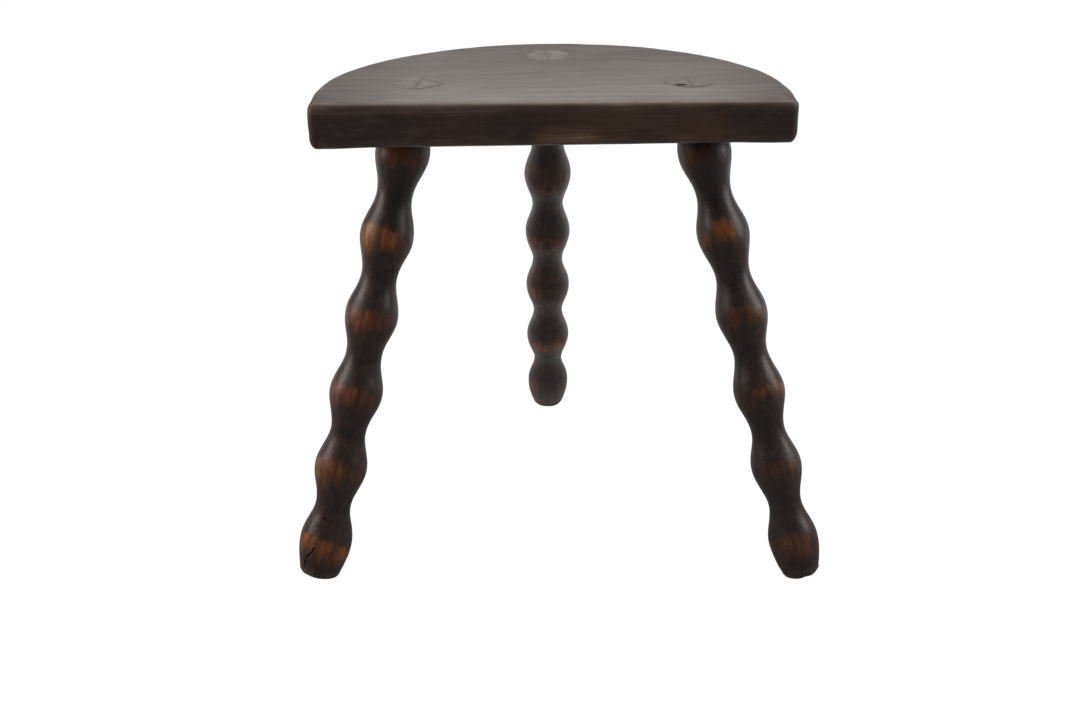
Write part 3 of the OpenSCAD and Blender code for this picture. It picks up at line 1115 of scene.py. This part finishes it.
def add_softbox(name, at, toward, width, height, radiance, colour):
    """A soft light at one point that faces another, in the row frame in metres."""
    data = bpy.data.lights.new(name, "AREA")
    data.shape = "RECTANGLE"
    data.size = width
    data.size_y = height
    data.energy = radiance * math.pi * width * height
    data.color = colour
    lamp = add_object(name, data)
    lamp.location = at
    lamp.rotation_euler = (Vector(toward) - Vector(at)).to_track_quat("-Z", "Y").to_euler()
    lamp.visible_camera = False


# How bright the floor is to the camera, and to the stool in front and behind
SEEN_GLOW = 0.99
FRONT_GLOW = 0.11
BACK_GLOW = 0.70
# In metres
FLOOR_HALF = 14
# The light from all round, and the backdrop that only the camera sees
DIM_LIGHT = ((1.0, 0.98, 0.96, 1), 0.09)
WHITE_BACKDROP = ((1, 1, 1, 1), 1.1)


def add_floor():
    """A wide pale floor that stays white round the stool, with only a faint shadow under it."""
    mesh = bpy.data.meshes.new("floor")
    corners = ((-1, -1), (1, -1), (1, 1), (-1, 1))
    mesh.from_pydata([(FLOOR_HALF * x, FLOOR_HALF * y, 0) for x, y in corners], [], [(0, 1, 2, 3)])
    floor = add_object("floor", mesh)
    n = Nodes("pale_floor")
    n.give("Base Color", (0.10, 0.10, 0.10))
    n.give("Roughness", 1.0)
    n.give("Specular IOR Level", 0.0)
    n.give("Emission Color", (1, 1, 1))
    # It lights the stool less than it shows, and mostly from behind
    split = n.tree.nodes.new("ShaderNodeSeparateXYZ")
    n.put(n.tree.nodes.new("ShaderNodeNewGeometry").outputs["Position"], split.inputs[0])
    given = n.ramp(split.outputs["Y"], -0.10, 0.45, FRONT_GLOW, BACK_GLOW)
    path = n.tree.nodes.new("ShaderNodeLightPath")
    shown = n.times(path.outputs["Is Camera Ray"], SEEN_GLOW)
    hidden = n.math("SUBTRACT", 1.0, path.outputs["Is Camera Ray"])
    glow = n.plus(shown, n.times(hidden, given))
    n.give("Emission Strength", glow)
    floor.data.materials.append(n.material)


def add_world():
    """Dim light from all round, behind a white backdrop that only the camera sees."""
    world = bpy.data.worlds.new("studio")
    world.use_nodes = True
    bpy.context.scene.world = world
    tree = world.node_tree
    tree.nodes.clear()
    mix = tree.nodes.new("ShaderNodeMixShader")
    for socket, (colour, strength) in zip(mix.inputs[1:], (DIM_LIGHT, WHITE_BACKDROP)):
        light = tree.nodes.new("ShaderNodeBackground")
        light.inputs["Color"].default_value = colour
        light.inputs["Strength"].default_value = strength
        tree.links.new(light.outputs[0], socket)
    path = tree.nodes.new("ShaderNodeLightPath")
    tree.links.new(path.outputs["Is Camera Ray"], mix.inputs[0])
    out = tree.nodes.new("ShaderNodeOutputWorld")
    tree.links.new(mix.outputs[0], out.inputs[0])


def add_lights():
    """Overhead, behind and at both sides, with the camera's side left dark."""
    pale = (1.0, 0.955, 0.93)
    warm = (1.0, 0.87, 0.81)
    add_softbox("overhead", (0, 0.15, 1.65), (0, 0, 0.25), 1.6, 1.1, 2.4, pale)
    add_softbox("behind", (0, 1.25, 0.68), (0, 0, 0.30), 3.0, 1.3, 0.62, pale)
    add_softbox("left", (-0.85, -0.24, 0.62), (-0.10, -0.1, 0.20), 0.42, 0.75, 5.4, warm)
    add_softbox("right", (0.85, -0.20, 0.62), (0.10, -0.1, 0.20), 0.42, 0.75, 5.0, pale)


build_stool()
add_camera()
add_floor()
add_world()
add_lights()
scene = bpy.context.scene
scene.view_settings.view_transform = "Standard"
scene.view_settings.look = "None"
